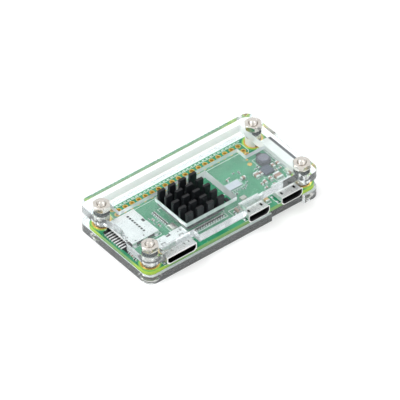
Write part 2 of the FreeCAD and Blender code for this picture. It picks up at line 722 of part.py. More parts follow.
def build_usb(label, middle):
    """A micro socket: flared shell, tongue and its five contacts."""
    half, wall, chamfer = DIMS["usb_half"], DIMS["usb_wall"], DIMS["usb_chamfer"]
    front, back = -DIMS["usb_front"], DIMS["usb_back"]
    low, high = board_top + 0.05, board_top + DIMS["usb_height"]
    lip, flare = DIMS["usb_lip"], DIMS["usb_flare"]
    inset = wall + 0.02
    body = new_body(f"{label.title().replace('_', '')}Shell")
    outer = new_sketch(body, f"{label}_outer", "XZ_Plane", -front)
    socket_outline(outer, middle, half, low, high, chamfer)
    pad(body, outer, back - front, backwards=True)
    mouth = new_sketch(body, f"{label}_mouth", "XZ_Plane", lip - front)
    socket_outline(mouth, middle, half + flare, low - flare, high + flare, chamfer)
    flared = body.newObject("PartDesign::AdditiveLoft", f"{label}_lip")
    flared.Profile = outer
    flared.Sections = [mouth]
    flared.Ruled = True
    DOC.recompute()
    inner = new_sketch(body, f"{label}_inner", "XZ_Plane", -front)
    socket_outline(inner, middle, half - wall, low + wall, high - wall, chamfer)
    pocket(body, inner, back - front - wall)
    throat = new_sketch(body, f"{label}_throat", "XZ_Plane", lip - front)
    socket_outline(throat, middle, half + flare - wall, low - flare + wall, high + flare - wall, chamfer)
    hollow = body.newObject("PartDesign::SubtractiveLoft", f"{label}_hollow")
    hollow.Profile = inner
    hollow.Sections = [throat]
    hollow.Ruled = True
    DOC.recompute()
    slots = [(around(middle + shift, 0.7), around(size(1.05), 1.2)) for shift in (-2.35, 2.35)]
    slit_row(body, f"{label}_slots", high, wall, slots)
    seat(body, f"{label}_shell")

    rear = block(f"{label}_rear", around(middle, 2 * (half - inset - chamfer)), (size(2.9), back - inset),
                 (low + inset, high - inset))
    tongue_z = (low + 1.15, low + 1.75)
    tongue = block(f"{label}_blade", around(middle, 5.4), (size(-0.3), size(3.0)), tongue_z)
    group(f"{label}_tongue", [fuse(f"{label}_moulding", [rear, tongue])])
    strips = []
    for step in range(5):
        shift = (step - 2) * 0.65
        strips.append(block(f"{label}_strip", around(middle + shift, 0.36), (size(-0.15), size(2.9)),
                            (tongue_z[0] - DIMS["copper"], tongue_z[0])))
    group(f"{label}_contacts", strips)


# ---------------------------------------------------------------- memory card socket

def build_card_socket():
    """The memory card socket: stamped cover open to the left, moulded base and spring contacts."""
    left, right = DIMS["card_left"], DIMS["card_right"]
    front, back, wall = DIMS["card_front"], DIMS["card_back"], DIMS["card_wall"]
    low, high = board_top, board_top + DIMS["card_height"]
    body = new_body("CardShell")
    outline = new_sketch(body, "card_outline", height=low)
    draw_rectangle(outline, (left, right), (front, back))
    pad(body, outline, high - low)
    room = new_sketch(body, "card_room", height=low)
    draw_rectangle(room, (left - 1, right - wall), (front + wall, back - wall))
    pocket(body, room, high - low - wall, backwards=True)
    tab = DIMS["card_tab"]
    gaps = new_sketch(body, "card_side_gaps", height=low)
    for y in ((front - 1, front + wall), (back - wall, back + 1)):
        draw_rectangle(gaps, (left + tab, (left + right - tab) / 2), y)
        draw_rectangle(gaps, ((left + right + tab) / 2, right - tab), y)
    pocket(body, gaps, high - low - wall, backwards=True)
    first, pitch = DIMS["card_contact_y"], DIMS["card_pitch"]
    contact_count = int(DIMS["card_contacts"].value)
    rows = [around(first + pitch * step, 0.7) for step in range(contact_count)]
    slits = [(around(size(9.3), 0.75), row) for row in rows]
    locating_holes = ((3.5, 14.2), (4.6, 11.7), (7.9, 12.0))
    slits += [(around(size(x), 0.5), around(size(y), 0.5)) for x, y in locating_holes]
    slits.append(((right - 1.2, right + 1), around(size(17.4), 1.4)))
    slit_row(body, "card_slits", high, wall, slits)
    seat(body, "card_socket_shell")

    inset = wall + 0.02
    floor_top = low + 0.3
    plan_y = (front + inset, back - inset)
    floor = block("card_floor", (DIMS["card_mouth"], right - inset), plan_y, (low, floor_top))
    rear = block("card_rear", (right - inset - 1.2, right - inset), plan_y, (low, high - inset))
    sides = [block("card_side", (left - 0.4, right - inset), y, (low, high - inset))
             for y in ((plan_y[0], plan_y[0] + 0.45), (plan_y[1] - 0.45, plan_y[1]))]
    group("card_socket_base", [fuse("card_moulding", [floor, rear, *sides])])

    contacts = []
    for step in range(contact_count):
        middle = first + pitch * step
        flat = block("card_flat", (size(0.55), size(8.8)), around(middle, 0.5), (floor_top, floor_top + 0.12))
        bump = block("card_bump", (size(7.4), size(8.2)), around(middle, 0.4), (floor_top, floor_top + 0.45))
        foot = block("card_foot", (size(0.55), size(0.95)), around(middle, 0.5), (low, floor_top + 0.12))
        contacts.append(fuse("card_contact", [flat, bump, foot]))
    group("card_socket_contacts", contacts)


# ---------------------------------------------------------------- camera socket

def build_camera_socket():
    """The flat-cable socket: moulded base, a comb of contacts, and the sliding latch."""
    left, right, front, back = (DIMS[f"camera_{side}"] for side in ("left", "right", "front", "back"))
    low, high = board_top, board_top + DIMS["camera_height"]
    gap, arm = DIMS["latch_gap"], DIMS["latch_arm"]
    slot_z = (low + 0.35, low + 1.15)
    whole = block("camera_whole", (left, right), (front, back), (low, high))
    slot = block("camera_slot", (left + 0.8, right + 1), (front + arm, back - arm), slot_z)
    tracks = [block("camera_track", (left + 1.2, right + 1), y, (low + 0.25, low + 1.25))
              for y in ((front - 1, front + 0.55), (back - 0.55, back + 1))]
    contacts = []
    span = DIMS["camera_pitch"] * (DIMS["camera_contacts"] - 1)
    first = (front + back - span) / 2
    for step in range(int(DIMS["camera_contacts"].value)):
        middle = first + DIMS["camera_pitch"] * step
        tail = block("camera_tail", (left - 0.7, left + 0.8), around(middle, 0.22), (low, low + 0.12))
        riser = block("camera_riser", (left + 0.6, left + 0.8), around(middle, 0.22), (low, slot_z[0] + 0.1))
        blade = block("camera_blade", (left + 0.6, right - 0.4), around(middle, 0.22),
                      (slot_z[0], slot_z[0] + 0.1))
        contacts.append(fuse("camera_contact", [tail, riser, blade]))
    group("camera_socket_contacts", contacts)
    hollow = fuse("camera_hollow", [slot, *tracks, *contacts])
    group("camera_socket_base", [cut("camera_moulding", whole, hollow)])

    bar = block("latch_bar", (right + gap, DIMS["latch_end"]), (front + 0.1, back - 0.1),
                (low + 0.2, low + 1.3))
    arms = [block("latch_arm", (left + 1.9, right + gap + 0.2), y, (low + 0.25 + gap, low + 1.25 - gap))
            for y in ((front + 0.1, front + 0.55 - gap), (back - 0.55 + gap, back - 0.1))]
    wedge = block("latch_wedge", (left + 2.1, right + gap + 0.2), (front + arm + gap, back - arm - gap),
                  (low + 0.75, slot_z[1] - gap))
    group("camera_socket_latch", [fuse("latch_moulding", [bar, wedge, *arms])])


# ---------------------------------------------------------------- small components

def slab(name, x, y, case, turned=False):
    """A package standing on the board: its three sizes come from the sheet of cases."""
    across, along = CASES[f"{case}_length"], CASES[f"{case}_width"]
    if turned:
        across, along = along, across
    return block(name, around(x, across), around(y, along), (board_top, board_top + CASES[f"{case}_height"]))


def terminals(name, x, y, case, turned):
    """The two tinned ends of a chip component, standing slightly proud of its body."""
    long, wide = CASES[f"{case}_length"], CASES[f"{case}_width"]
    end, proud = long * CASES["terminal_share"], CASES["terminal_proud"]
    height = (board_top, board_top + CASES[f"{case}_height"] + proud)
    half = long / 2
    ends = []
    for low, high in ((-half - proud, -half + end), (half - end, half + proud)):
        across = around(y if not turned else x, wide + 2 * proud)
        along = ((y if turned else x) + low, (y if turned else x) + high)
        ends.append(block(name, across, along, height) if turned else block(name, along, across, height))
    return ends


def chip_body(name, x, y, case, turned):
    """The ceramic between a chip component's two ends."""
    long, wide = CASES[f"{case}_length"], CASES[f"{case}_width"]
    middle = long * (1 - 2 * CASES["terminal_share"])
    across, along = (wide, middle) if turned else (middle, wide)
    return block(name, around(x, across), around(y, along), (board_top, board_top + CASES[f"{case}_height"]))


def build_chips(label, rows):
    """Chip components as two nodes: their ceramic bodies, and their tinned ends."""
    bodies, ends = [], []
    for x, y, case, turned in rows:
        bodies.append(chip_body(f"{label}_body", size(x), size(y), case, turned))
        ends += terminals(f"{label}_end", size(x), size(y), case, turned)
    group(f"{label}_ceramic", bodies)
    group(f"{label}_terminals", ends)


LEFT_ROW = [(PLACES["left_row_x"], PLACES["left_row_y"] + PLACES["left_row_step"] * step, "small", False)
            for step in range(int(PLACES["left_row_count"].value))]
FRONT_ROW = [(PLACES["front_row_x"] + PLACES["front_row_step"] * step, PLACES["front_row_y"], "small", True)
             for step in range(int(PLACES["front_row_count"].value))]
CAPACITORS = [
    (51.4, 12.4, "large", True), (53.0, 12.4, "medium", True), (58.1, 12.9, "medium", True),
    (59.8, 12.9, "medium", True), (50.4, 8.6, "small", True), (51.6, 8.6, "medium", True),
    (53.8, 8.8, "medium", True), (59.9, 7.2, "medium", False), (57.6, 10.9, "small", False),
    (59.2, 10.9, "small", False), (53.2, 6.4, "small", False), (50.4, 6.6, "small", False),
    (37.0, 12.6, "small", True), (36.2, 15.4, "small", True), (36.4, 9.4, "small", False),
    (43.2, 16.2, "small", True), (44.3, 16.9, "tiny", False), (47.6, 14.2, "medium", False),
    (1.25, 9.0, "small", True), (15.0, 16.4, "small", True), (15.0, 13.4, "small", True),
]
RESISTORS = [
    (41.3, 11.2, "tiny", True), (42.1, 11.2, "tiny", True), (42.9, 11.3, "tiny", True),
    (43.7, 11.2, "tiny", True), (44.6, 10.8, "tiny", True), (45.3, 10.4, "tiny", True),
    (46.0, 11.0, "tiny", True), (46.7, 11.5, "tiny", True), (47.5, 12.3, "tiny", False),
    (41.6, 9.9, "small", False), (46.7, 17.8, "tiny", False), (48.2, 16.6, "tiny", True),
    (48.4, 17.4, "tiny", False), (54.2, 15.4, "small", True), (53.2, 15.2, "tiny", False),
    (58.4, 5.9, "small", True), (35.9, 3.6, "small", True), (49.0, 4.6, "tiny", True),
    (1.25, 10.3, "small", True), (0.95, 7.3, "small", True), (14.3, 15.0, "tiny", True),
    (14.4, 17.6, "tiny", True), (15.6, 15.0, "tiny", False), (35.2, 21.0, "tiny", False),
    (37.6, 20.3, "tiny", True), (40.3, 19.2, "tiny", False), (57.8, 6.2, "tiny", False),
]


def octagon(name, x, y, side, cut_back, z):
    """A square block whose four corners are cut off at 45 degrees."""
    body = new_body(name)
    sketch = new_sketch(body, f"{name}_outline", height=z[0])
    half = side / 2
    near = half - cut_back
    draw_polygon(sketch, [(x - near, y - half), (x + near, y - half), (x + half, y - near),
                          (x + half, y + near), (x + near, y + half), (x - near, y + half),
                          (x - half, y + near), (x - half, y - near)])
    pad(body, sketch, z[1] - z[0])
    return body


def build_components():
    """Everything else that is soldered to the board's face."""
    place = PLACES
    group("wireless_module", [slab("wireless", place["wireless_x"], place["wireless_y"], "wireless")])
    group("power_regulator", [slab("regulator", place["regulator_x"], place["regulator_y"], "regulator")])
    low = board_top
    core = octagon("InductorCore", place["inductor_x"], place["inductor_y"], CASES["inductor_side"],
                   CASES["inductor_cut"], (low, low + CASES["inductor_height"]))
    seat(core, "inductor_core")
    drum = disc("drum", place["inductor_x"], place["inductor_y"],
                (low + CASES["inductor_height"], low + CASES["drum_top"]), CASES["drum_radius"])
    group("inductor_drum", [drum])
    group("crystals", [slab("crystal", place["main_crystal_x"], place["main_crystal_y"], "crystal", True),
                       slab("crystal", place["radio_crystal_x"], place["radio_crystal_y"], "radio")])
    build_chips("input_fuse", [(place["fuse_x"], place["fuse_y"], "large", True)])
    group("status_lamp", [slab("lamp", place["lamp_x"], place["lamp_y"], "medium", True)])
    group("antenna_capacitor", [slab("antenna", place["antenna_x"], place["antenna_y"], "medium", True)])
    group("logic_chips", [slab("logic", size(x), size(y), "logic", turned)
                          for x, y, turned in ((38.6, 10.8, True), (57.9, 19.3, False))])
    build_chips("capacitor", CAPACITORS)
    build_chips("bulk_capacitor", [(place["block_x"], place["block_y"], "block", True)])
    build_chips("resistor", RESISTORS)
    build_chips("decoupling", LEFT_ROW + FRONT_ROW)


# ---------------------------------------------------------------- build, check and write

def check_document():
    """Stop if any object of the document failed, or any sub-part is empty or not valid."""
    for thing in DOC.Objects:
        if "Invalid" in thing.State or "Error" in thing.State:
            raise RuntimeError(f"{thing.Name} failed: {thing.State}")
    for node in NODES:
        if node.Shape.isNull() or not node.Shape.isValid() or not node.Shape.Solids:
            raise RuntimeError(f"{node.Label} has no valid solid")


def main():
    build_bottom_plate()
    build_top_plate()
    build_spacers()
    build_screws()
    build_nuts()
    build_board()
    build_eyelets()
    build_mounting_rings()
    build_test_pads()
    build_heat_sink(build_processor())
    build_hdmi()
    build_usb("usb_data", DIMS["usb_data_x"])
    build_usb("usb_power", DIMS["usb_power_x"])
    build_card_socket()
    build_camera_socket()
    build_components()
    DOC.recompute()
    check_document()
    os.makedirs("parts", exist_ok=True)
    for node in NODES:
        node.Shape.exportStep(f"parts/{node.Label}.step")
        print(node.Label, len(node.Shape.Solids), round(node.Shape.Volume, 2))


main()
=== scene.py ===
"""Looks for the single board computer in its clear case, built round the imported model."""

import json
import math

import bmesh
import bpy
from mathutils import Matrix, Vector


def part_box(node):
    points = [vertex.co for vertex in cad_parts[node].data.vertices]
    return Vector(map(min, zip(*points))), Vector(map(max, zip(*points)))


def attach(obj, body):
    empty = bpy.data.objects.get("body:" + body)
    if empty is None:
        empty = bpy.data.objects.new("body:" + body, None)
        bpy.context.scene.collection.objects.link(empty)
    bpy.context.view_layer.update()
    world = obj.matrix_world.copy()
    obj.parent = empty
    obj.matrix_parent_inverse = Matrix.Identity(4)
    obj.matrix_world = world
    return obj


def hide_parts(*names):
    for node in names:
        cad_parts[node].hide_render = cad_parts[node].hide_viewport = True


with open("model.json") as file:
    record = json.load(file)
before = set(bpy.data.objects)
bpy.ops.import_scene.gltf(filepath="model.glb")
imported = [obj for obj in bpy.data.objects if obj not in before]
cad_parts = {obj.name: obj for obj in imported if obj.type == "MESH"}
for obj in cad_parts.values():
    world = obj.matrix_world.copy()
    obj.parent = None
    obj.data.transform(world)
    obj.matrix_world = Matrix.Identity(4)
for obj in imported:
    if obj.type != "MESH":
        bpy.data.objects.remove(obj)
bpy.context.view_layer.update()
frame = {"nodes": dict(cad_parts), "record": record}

MM = 0.001
BODY = "board_assembly"

BOARD_LOW, BOARD_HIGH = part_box("circuit_board")
BOARD_MIDDLE = (BOARD_LOW + BOARD_HIGH) / 2
HOLE_INSET = 3.5 * MM
HOLES = [(x, y) for x in (BOARD_LOW.x + HOLE_INSET, BOARD_HIGH.x - HOLE_INSET)
         for y in (BOARD_LOW.y + HOLE_INSET, BOARD_HIGH.y - HOLE_INSET)]


def on_board(x, y, lift=0.0):
    """A place in millimetres from the board's front left corner, and above its face, in metres."""
    return Vector((BOARD_LOW.x + x * MM, BOARD_LOW.y + y * MM, BOARD_HIGH.z + lift * MM))


# The rectangle in plan that holds the cover's inner cuts: its middle, its half size and its haze
CUTS_MIDDLE = (on_board(5, 4) + on_board(60.4, 31)) / 2
CUTS_REACH = on_board(60.4, 31) - CUTS_MIDDLE
CUTS_HAZE = 0.6
# How clear the polished faces are, for the slight bloom on the sheet
FACE_CLARITY = 0.988
ACRYLIC_INDEX = 1.49


def srgb(red, green, blue):
    """A screen colour, 0 to 255, as the linear colour that a shader takes."""
    def linear(value):
        value /= 255
        return value / 12.92 if value <= 0.04045 else ((value + 0.055) / 1.055) ** 2.4
    return linear(red), linear(green), linear(blue), 1.0


# ---------------------------------------------------------------- material nodes

class Graph:
    """The nodes of one material, built up from its main shader."""

    def __init__(self, name):
        self.material = bpy.data.materials.new(name)
        self.material.use_nodes = True
        self.tree = self.material.node_tree
        self.shader = self.tree.nodes["Principled BSDF"]
        self.place = self.node("TexCoord").outputs["Object"]

    def feed(self, socket, value):
        """Link a socket to an output, or set it to a plain value."""
        if isinstance(value, bpy.types.NodeSocket):
            self.tree.links.new(value, socket)
        else:
            socket.default_value = value

    def node(self, kind, settings=None, **inputs):
        """A new node with its properties and named inputs set."""
        node = self.tree.nodes.new(f"ShaderNode{kind}")
        for key, value in (settings or {}).items():
            setattr(node, key, value)
        for key, value in inputs.items():
            self.feed(node.inputs[key], value)
        return node

    def set(self, **inputs):
        """Set or link inputs of the main shader; an underscore stands for a space."""
        for key, value in inputs.items():
            self.feed(self.shader.inputs[key.replace("_", " ")], value)

    def sum(self, operation, *values):
        """The result of one arithmetic step on numbers or outputs."""
        node = self.node("Math", {"operation": operation})
        for socket, value in zip(node.inputs, values):
            self.feed(socket, value)
        return node.outputs[0]

    def vector(self, operation, *values, output="Vector"):
        """The result of one vector step."""
        node = self.node("VectorMath", {"operation": operation})
        for socket, value in zip(node.inputs, values):
            self.feed(socket, value)
        return node.outputs[output]

    def ramp(self, value, low, high, start=0.0, end=1.0):
        """A value taken smoothly from one range to another, and held at the ends."""
        node = self.node("MapRange", {"interpolation_type": "SMOOTHSTEP"}, Value=value)
        for socket, amount in zip(node.inputs[1:5], (low, high, start, end)):
            socket.default_value = amount
        return node.outputs["Result"]

    def blend(self, amount, first, second):
        """Two colours mixed by an amount."""
        node = self.node("Mix", {"data_type": "RGBA"})
        for index, value in ((0, amount), (6, first), (7, second)):
            self.feed(node.inputs[index], value)
        return node.outputs[2]

    def noise(self, grain, detail=2.0, stretch=(1, 1, 1)):
        """Soft noise with a grain size in metres, drawn out along the axes by the stretch."""
        scale = tuple(1 / (grain * pull) for pull in stretch)
        place = self.vector("MULTIPLY", self.place, scale)
        return self.node("TexNoise", Vector=place, Scale=1.0, Detail=detail).outputs["Fac"]

    def cells(self, size, distance="EUCLIDEAN"):
        """A field of cells of about one size."""
        return self.node("TexVoronoi", {"distance": distance}, Vector=self.place, Scale=1 / size)

    def lines(self, direction, period):
        """Waves from 0 to 1 across a direction."""
        along = self.vector("DOT_PRODUCT", self.place, direction, output="Value")
        turn = self.sum("SINE", self.sum("MULTIPLY", along, 2 * math.pi / period))
        return self.sum("MULTIPLY_ADD", turn, 0.5, 0.5)

    def uprightness(self):
        """One on faces that look sideways, none on faces that look up or down."""
        normal = self.node("NewGeometry").outputs["True Normal"]
        rise = self.sum("ABSOLUTE", self.node("SeparateXYZ", Vector=normal).outputs["Z"])
        return self.ramp(rise, 0.5, 0.9, 1.0, 0.0)

    def pass_shadows(self, tint):
        """Let light straight through towards what lies behind, as thin clear sheet does."""
        clear = self.node("BsdfTransparent", Color=tint)
        pick = self.node("MixShader")
        self.feed(pick.inputs[0], self.node("LightPath").outputs["Is Shadow Ray"])
        self.tree.links.new(self.shader.outputs[0], pick.inputs[1])
        self.tree.links.new(clear.outputs[0], pick.inputs[2])
        self.tree.links.new(pick.outputs[0], self.tree.nodes["Material Output"].inputs["Surface"])

    def relief(self, height, depth):
        """Bump from a height field, with its depth in metres."""
        bump = self.node("Bump", Height=height, Distance=depth)
        self.set(Normal=bump.outputs["Normal"])


def plain_finish(name, colour, shade, roughness, metallic, grain, stretch, depth):
    """A finish with slow colour variation and a fine grain, which varies gloss and relief."""
    graph = Graph(name)
    cloud = graph.ramp(graph.noise(2.6 * MM, detail=4.0), 0.3, 0.7)
    fine = graph.noise(grain * MM, detail=3.0, stretch=stretch)
    tone = graph.sum("MULTIPLY_ADD", fine, 0.5, graph.sum("MULTIPLY", cloud, 0.5))
    graph.set(Base_Color=graph.blend(tone, srgb(*shade), srgb(*colour)), Metallic=metallic,
              Roughness=graph.ramp(fine, 0.25, 0.75, roughness * 0.75, min(1.0, roughness * 1.3)))
    graph.relief(fine, depth * MM)
    return graph


def acrylic(name, cut_roughness, haze, tint):
    """Clear cast acrylic: polished faces, clear outer edges, and hazier cuts inside the outline."""
    graph = Graph(name)
    side = graph.uprightness()
    offset = graph.vector("ABSOLUTE", graph.vector("SUBTRACT", graph.place, tuple(CUTS_MIDDLE)))
    spread = graph.node("SeparateXYZ", Vector=offset)
    inside = graph.sum("MULTIPLY", graph.sum("LESS_THAN", spread.outputs["X"], CUTS_REACH.x),
                       graph.sum("LESS_THAN", spread.outputs["Y"], CUTS_REACH.y))
    streak = graph.noise(0.09 * MM, detail=3.0, stretch=(1, 1, 40))
    scuff = graph.ramp(graph.noise(1.7 * MM, detail=5.0, stretch=(1, 0.4, 1)), 0.62, 0.8, 0.0, 0.05)
    edge_roughness = graph.ramp(streak, 0.3, 0.7, cut_roughness * 0.4, cut_roughness)
    graph.set(
        Base_Color=tint, IOR=ACRYLIC_INDEX,
        Roughness=graph.sum("MULTIPLY_ADD", side, edge_roughness, scuff),
        Transmission_Weight=graph.sum("MULTIPLY_ADD", graph.sum("MULTIPLY_ADD", inside, CUTS_HAZE, haze),
                                      graph.sum("MULTIPLY", side, -1.0), FACE_CLARITY))
    graph.relief(graph.sum("MULTIPLY", side, streak), 0.006 * MM)
    graph.pass_shadows(tint)
    return graph


def solder_mask(name):
    """Green board: tracks and vias under the mask, lime round the holes and on the cut edge near them."""
    graph = Graph(name)
    patches = graph.cells(3.6 * MM, distance="CHEBYCHEV")
    split = graph.node("SeparateColor", Color=patches.outputs["Color"])
    pick, strength = split.outputs["Red"], split.outputs["Green"]
    along, across = graph.lines((0, 1, 0), 0.42 * MM), graph.lines((1, 0, 0), 0.42 * MM)
    slanted = graph.lines((0.7071, 0.7071, 0), 0.36 * MM)
    first = graph.sum("GREATER_THAN", pick, 0.4)
    second = graph.sum("GREATER_THAN", pick, 0.75)
    runs = graph.node("Mix", {"data_type": "FLOAT"})
    graph.feed(runs.inputs[0], first)
    graph.feed(runs.inputs[2], along)
    graph.feed(runs.inputs[3], across)
    all_runs = graph.node("Mix", {"data_type": "FLOAT"})
    graph.feed(all_runs.inputs[0], second)
    graph.feed(all_runs.inputs[2], runs.outputs[0])
    graph.feed(all_runs.inputs[3], slanted)
    tracks = graph.sum("MULTIPLY", graph.ramp(all_runs.outputs[0], 0.45, 0.7),
                       graph.sum("GREATER_THAN", strength, 0.35))
    via_field = graph.cells(1.5 * MM).outputs["Distance"]
    via = graph.ramp(via_field, 0.13, 0.17, 1.0, 0.0)
    drill = graph.ramp(via_field, 0.05, 0.08, 1.0, 0.0)

    centred = graph.vector("SUBTRACT", graph.place, tuple(BOARD_MIDDLE))
    reach = Vector((HOLES[3][0] - BOARD_MIDDLE.x, HOLES[3][1] - BOARD_MIDDLE.y, 0))
    corner = graph.vector("SUBTRACT", graph.vector("ABSOLUTE", centred), tuple(reach))
    flat = graph.vector("MULTIPLY", corner, (1, 1, 0))
    radius = graph.vector("LENGTH", flat, output="Value")
    bare = graph.ramp(radius, 3.3 * MM, 3.6 * MM, 1.0, 0.0)

    base = graph.blend(graph.ramp(graph.noise(5 * MM, detail=3.0), 0.3, 0.7),
                       srgb(10, 120, 82), srgb(20, 134, 92))
    base = graph.blend(graph.sum("MULTIPLY", tracks, 0.55), base, srgb(70, 164, 120))
    base = graph.blend(via, base, srgb(118, 186, 140))
    base = graph.blend(drill, base, srgb(24, 84, 58))
    face = graph.blend(bare, base, srgb(140, 198, 72))
    weave = graph.noise(0.12 * MM, detail=2.0, stretch=(14, 14, 1))
    cut = graph.blend(weave, srgb(86, 148, 74), srgb(140, 176, 108))
    lime = graph.ramp(radius, 3.6 * MM, 6.5 * MM, 0.85, 0.0)
    cut = graph.blend(lime, cut, srgb(168, 204, 52))
    side = graph.uprightness()
    graph.set(Base_Color=graph.blend(side, face, cut), Specular_IOR_Level=0.5,
              Roughness=graph.ramp(side, 0.0, 1.0, 0.3, 0.62), Coat_Weight=0.25, Coat_Roughness=0.12)
    graph.relief(graph.sum("SUBTRACT", tracks, graph.sum("MULTIPLY", drill, 2.0)), 0.02 * MM)
    return graph


def anodised(name):
    """Black anodised aluminium with the fine marks of the saw on the sides of its pins."""
    graph = Graph(name)
    side = graph.uprightness()
    marks = graph.noise(0.05 * MM, detail=3.0, stretch=(20, 20, 1))
    grit = graph.noise(0.12 * MM, detail=4.0)
    tone = graph.sum("MULTIPLY_ADD", side, marks, grit)
    graph.set(Base_Color=graph.blend(graph.ramp(tone, 0.4, 1.4), srgb(15, 17, 20), srgb(38, 42, 46)),
              Metallic=0.25, Roughness=graph.ramp(grit, 0.3, 0.7, 0.34, 0.5))
    graph.relief(tone, 0.008 * MM)
    return graph


def pressed_ferrite(name):
    """Grey pressed ferrite, with dark and pale specks."""
    graph = Graph(name)
    speck = graph.cells(0.16 * MM).outputs["Distance"]
    tone = graph.ramp(speck, 0.1, 0.7)
    graph.set(Base_Color=graph.blend(tone, srgb(58, 62, 70), srgb(88, 92, 101)), Roughness=0.62)
    graph.relief(tone, 0.01 * MM)
    return graph


def turned_nickel(name):
    """Bright nickel plate with faint turning rings."""
    graph = Graph(name)
    rings = graph.noise(0.04 * MM, detail=2.0, stretch=(60, 60, 1))
    cloud = graph.noise(0.9 * MM, detail=4.0)
    graph.set(Base_Color=graph.blend(cloud, srgb(196, 190, 182), srgb(238, 234, 228)), Metallic=1.0,
              Roughness=graph.ramp(cloud, 0.3, 0.7, 0.12, 0.26))
    graph.relief(rings, 0.003 * MM)
    return graph


# Screen colour, darker tone, roughness, metallic, grain in mm, stretch of the grain, relief in mm
BRUSHED = (18, 1, 1)
PLAIN_FINISHES = {
    "gold_plate": ((248, 214, 130), (214, 168, 82), 0.26, 1.0, 0.12, (1, 1, 1), 0.003),
    "thermal_tape": ((170, 176, 184), (138, 146, 156), 0.85, 0.0, 0.15, (1, 1, 1), 0.01),
    "chip_epoxy": ((46, 48, 52), (30, 32, 35), 0.58, 0.0, 0.07, (1, 1, 1), 0.006),
    "slate_epoxy": ((84, 92, 106), (66, 73, 86), 0.5, 0.0, 0.08, (1, 1, 1), 0.005),
    "module_lid": ((218, 220, 228), (196, 198, 208), 0.36, 0.6, 0.06, BRUSHED, 0.002),
    "ferrite_pale": ((140, 138, 150), (112, 110, 122), 0.4, 0.2, 0.12, (1, 1, 1), 0.006),
    "crystal_lid": ((216, 212, 204), (184, 180, 172), 0.3, 0.9, 0.05, BRUSHED, 0.002),
    "fuse_body": ((208, 182, 144), (176, 148, 110), 0.5, 0.0, 0.1, (1, 1, 1), 0.006),
    "lamp_resin": ((236, 238, 224), (206, 210, 190), 0.28, 0.0, 0.2, (1, 1, 1), 0.003),
    # brown_ceramic: a darker body colour, partly painted shade of the close rows beside the processor
    "brown_ceramic": ((70, 58, 52), (52, 44, 40), 0.42, 0.0, 0.08, (1, 1, 1), 0.004),
    "tan_ceramic": ((176, 142, 126), (140, 108, 94), 0.42, 0.0, 0.08, (1, 1, 1), 0.004),
    "resistor_ceramic": ((54, 55, 60), (34, 35, 39), 0.4, 0.0, 0.06, (1, 1, 1), 0.003),
    "tinned_end": ((250, 250, 248), (226, 227, 228), 0.3, 0.75, 0.09, (1, 1, 1), 0.008),
    "stamped_steel": ((248, 248, 246), (226, 227, 226), 0.3, 0.8, 0.05, BRUSHED, 0.003),
    "black_moulding": ((24, 24, 26), (14, 14, 16), 0.5, 0.0, 0.08, (1, 1, 1), 0.005),
    "white_moulding": ((240, 240, 236), (222, 222, 216), 0.45, 0.0, 0.1, (1, 1, 1), 0.004),
    "grey_moulding": ((74, 76, 80), (56, 58, 62), 0.5, 0.0, 0.08, (1, 1, 1), 0.005),
    "silkscreen": ((244, 247, 244), (226, 232, 226), 0.6, 0.0, 0.06, (1, 1, 1), 0.004),
    "solder": ((232, 233, 234), (190, 192, 196), 0.24, 0.9, 0.2, (1, 1, 1), 0.01),
}
FINISHES = {name: plain_finish(name, *row).material for name, row in PLAIN_FINISHES.items()}
# The bluish tint is partly the sheet's own tint and partly painted reflection of the bluish sheen on its
# top face
FINISHES["clear_acrylic"] = acrylic("clear_acrylic", 0.03, 0.07, (0.95, 0.99, 1.0, 1)).material
FINISHES["clear_spacer"] = acrylic("clear_spacer", 0.08, 0.1, (0.98, 0.985, 0.98, 1)).material
FINISHES["green_board"] = solder_mask("green_board").material
FINISHES["black_anodised"] = anodised("black_anodised").material
FINISHES["ferrite"] = pressed_ferrite("ferrite").material
FINISHES["nickel_steel"] = turned_nickel("nickel_steel").material


def shell_steel(node):
    """Bright stamped steel, with painted shade: its inner faces are coloured dark."""
    colour, shade, *rest = PLAIN_FINISHES["stamped_steel"]
    graph = plain_finish(f"{node}_steel", colour, shade, *rest)
    low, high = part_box(node)
    outward = graph.vector("SUBTRACT", graph.place, tuple((low + high) / 2))
    across = graph.vector("MULTIPLY", outward, (1, 0, 1))
    facing = graph.vector("DOT_PRODUCT", across, graph.node("NewGeometry").outputs["True Normal"],
                          output="Value")
    bright = graph.shader.inputs["Base Color"].links[0].from_socket
    # Painted shade: faces turned inward, into the socket's mouth, take a fixed dark colour
    graph.set(Base_Color=graph.blend(graph.sum("LESS_THAN", facing, -0.1 * MM), bright, srgb(40, 40, 42)))
    return graph.material


# ---------------------------------------------------------------- carried-over CAD nodes

# Width in millimetres of the rounded edge that each finish gets
EDGES = {"nickel_steel": 0.07, "black_anodised": 0.07,
         "stamped_steel": 0.05, "green_board": 0.04, "chip_epoxy": 0.04, "slate_epoxy": 0.06,
         "module_lid": 0.05, "ferrite": 0.12, "ferrite_pale": 0.1, "crystal_lid": 0.1, "fuse_body": 0.05,
         "lamp_resin": 0.08, "tan_ceramic": 0.03, "resistor_ceramic": 0.02, "tinned_end": 0.04,
         "black_moulding": 0.04, "white_moulding": 0.05, "grey_moulding": 0.05}


def soften(node, width):
    """Round a piece's edges, once its corners are welded and its flat faces are whole."""
    weld = node.modifiers.new("Weld", "WELD")
    weld.merge_threshold = 0.001 * MM
    flatten = node.modifiers.new("Flatten", "DECIMATE")
    flatten.decimate_type = "DISSOLVE"
    flatten.angle_limit = math.radians(0.5)
    bevel = node.modifiers.new("Bevel", "BEVEL")
    bevel.width = width * MM
    bevel.segments = 2
    bevel.limit_method = "ANGLE"
    bevel.angle_limit = math.radians(40)
    bevel.miter_outer = "MITER_ARC"
    smooth = node.modifiers.new("Normals", "WEIGHTED_NORMAL")
    smooth.weight = 100
    smooth.keep_sharp = False


# The close rows beside the processor get a darker finish than the other chip capacitors: partly their
# darker bodies, partly painted shade for the shadow in the narrow gaps between them
NODE_FINISHES = {"decoupling_ceramic": "brown_ceramic"}


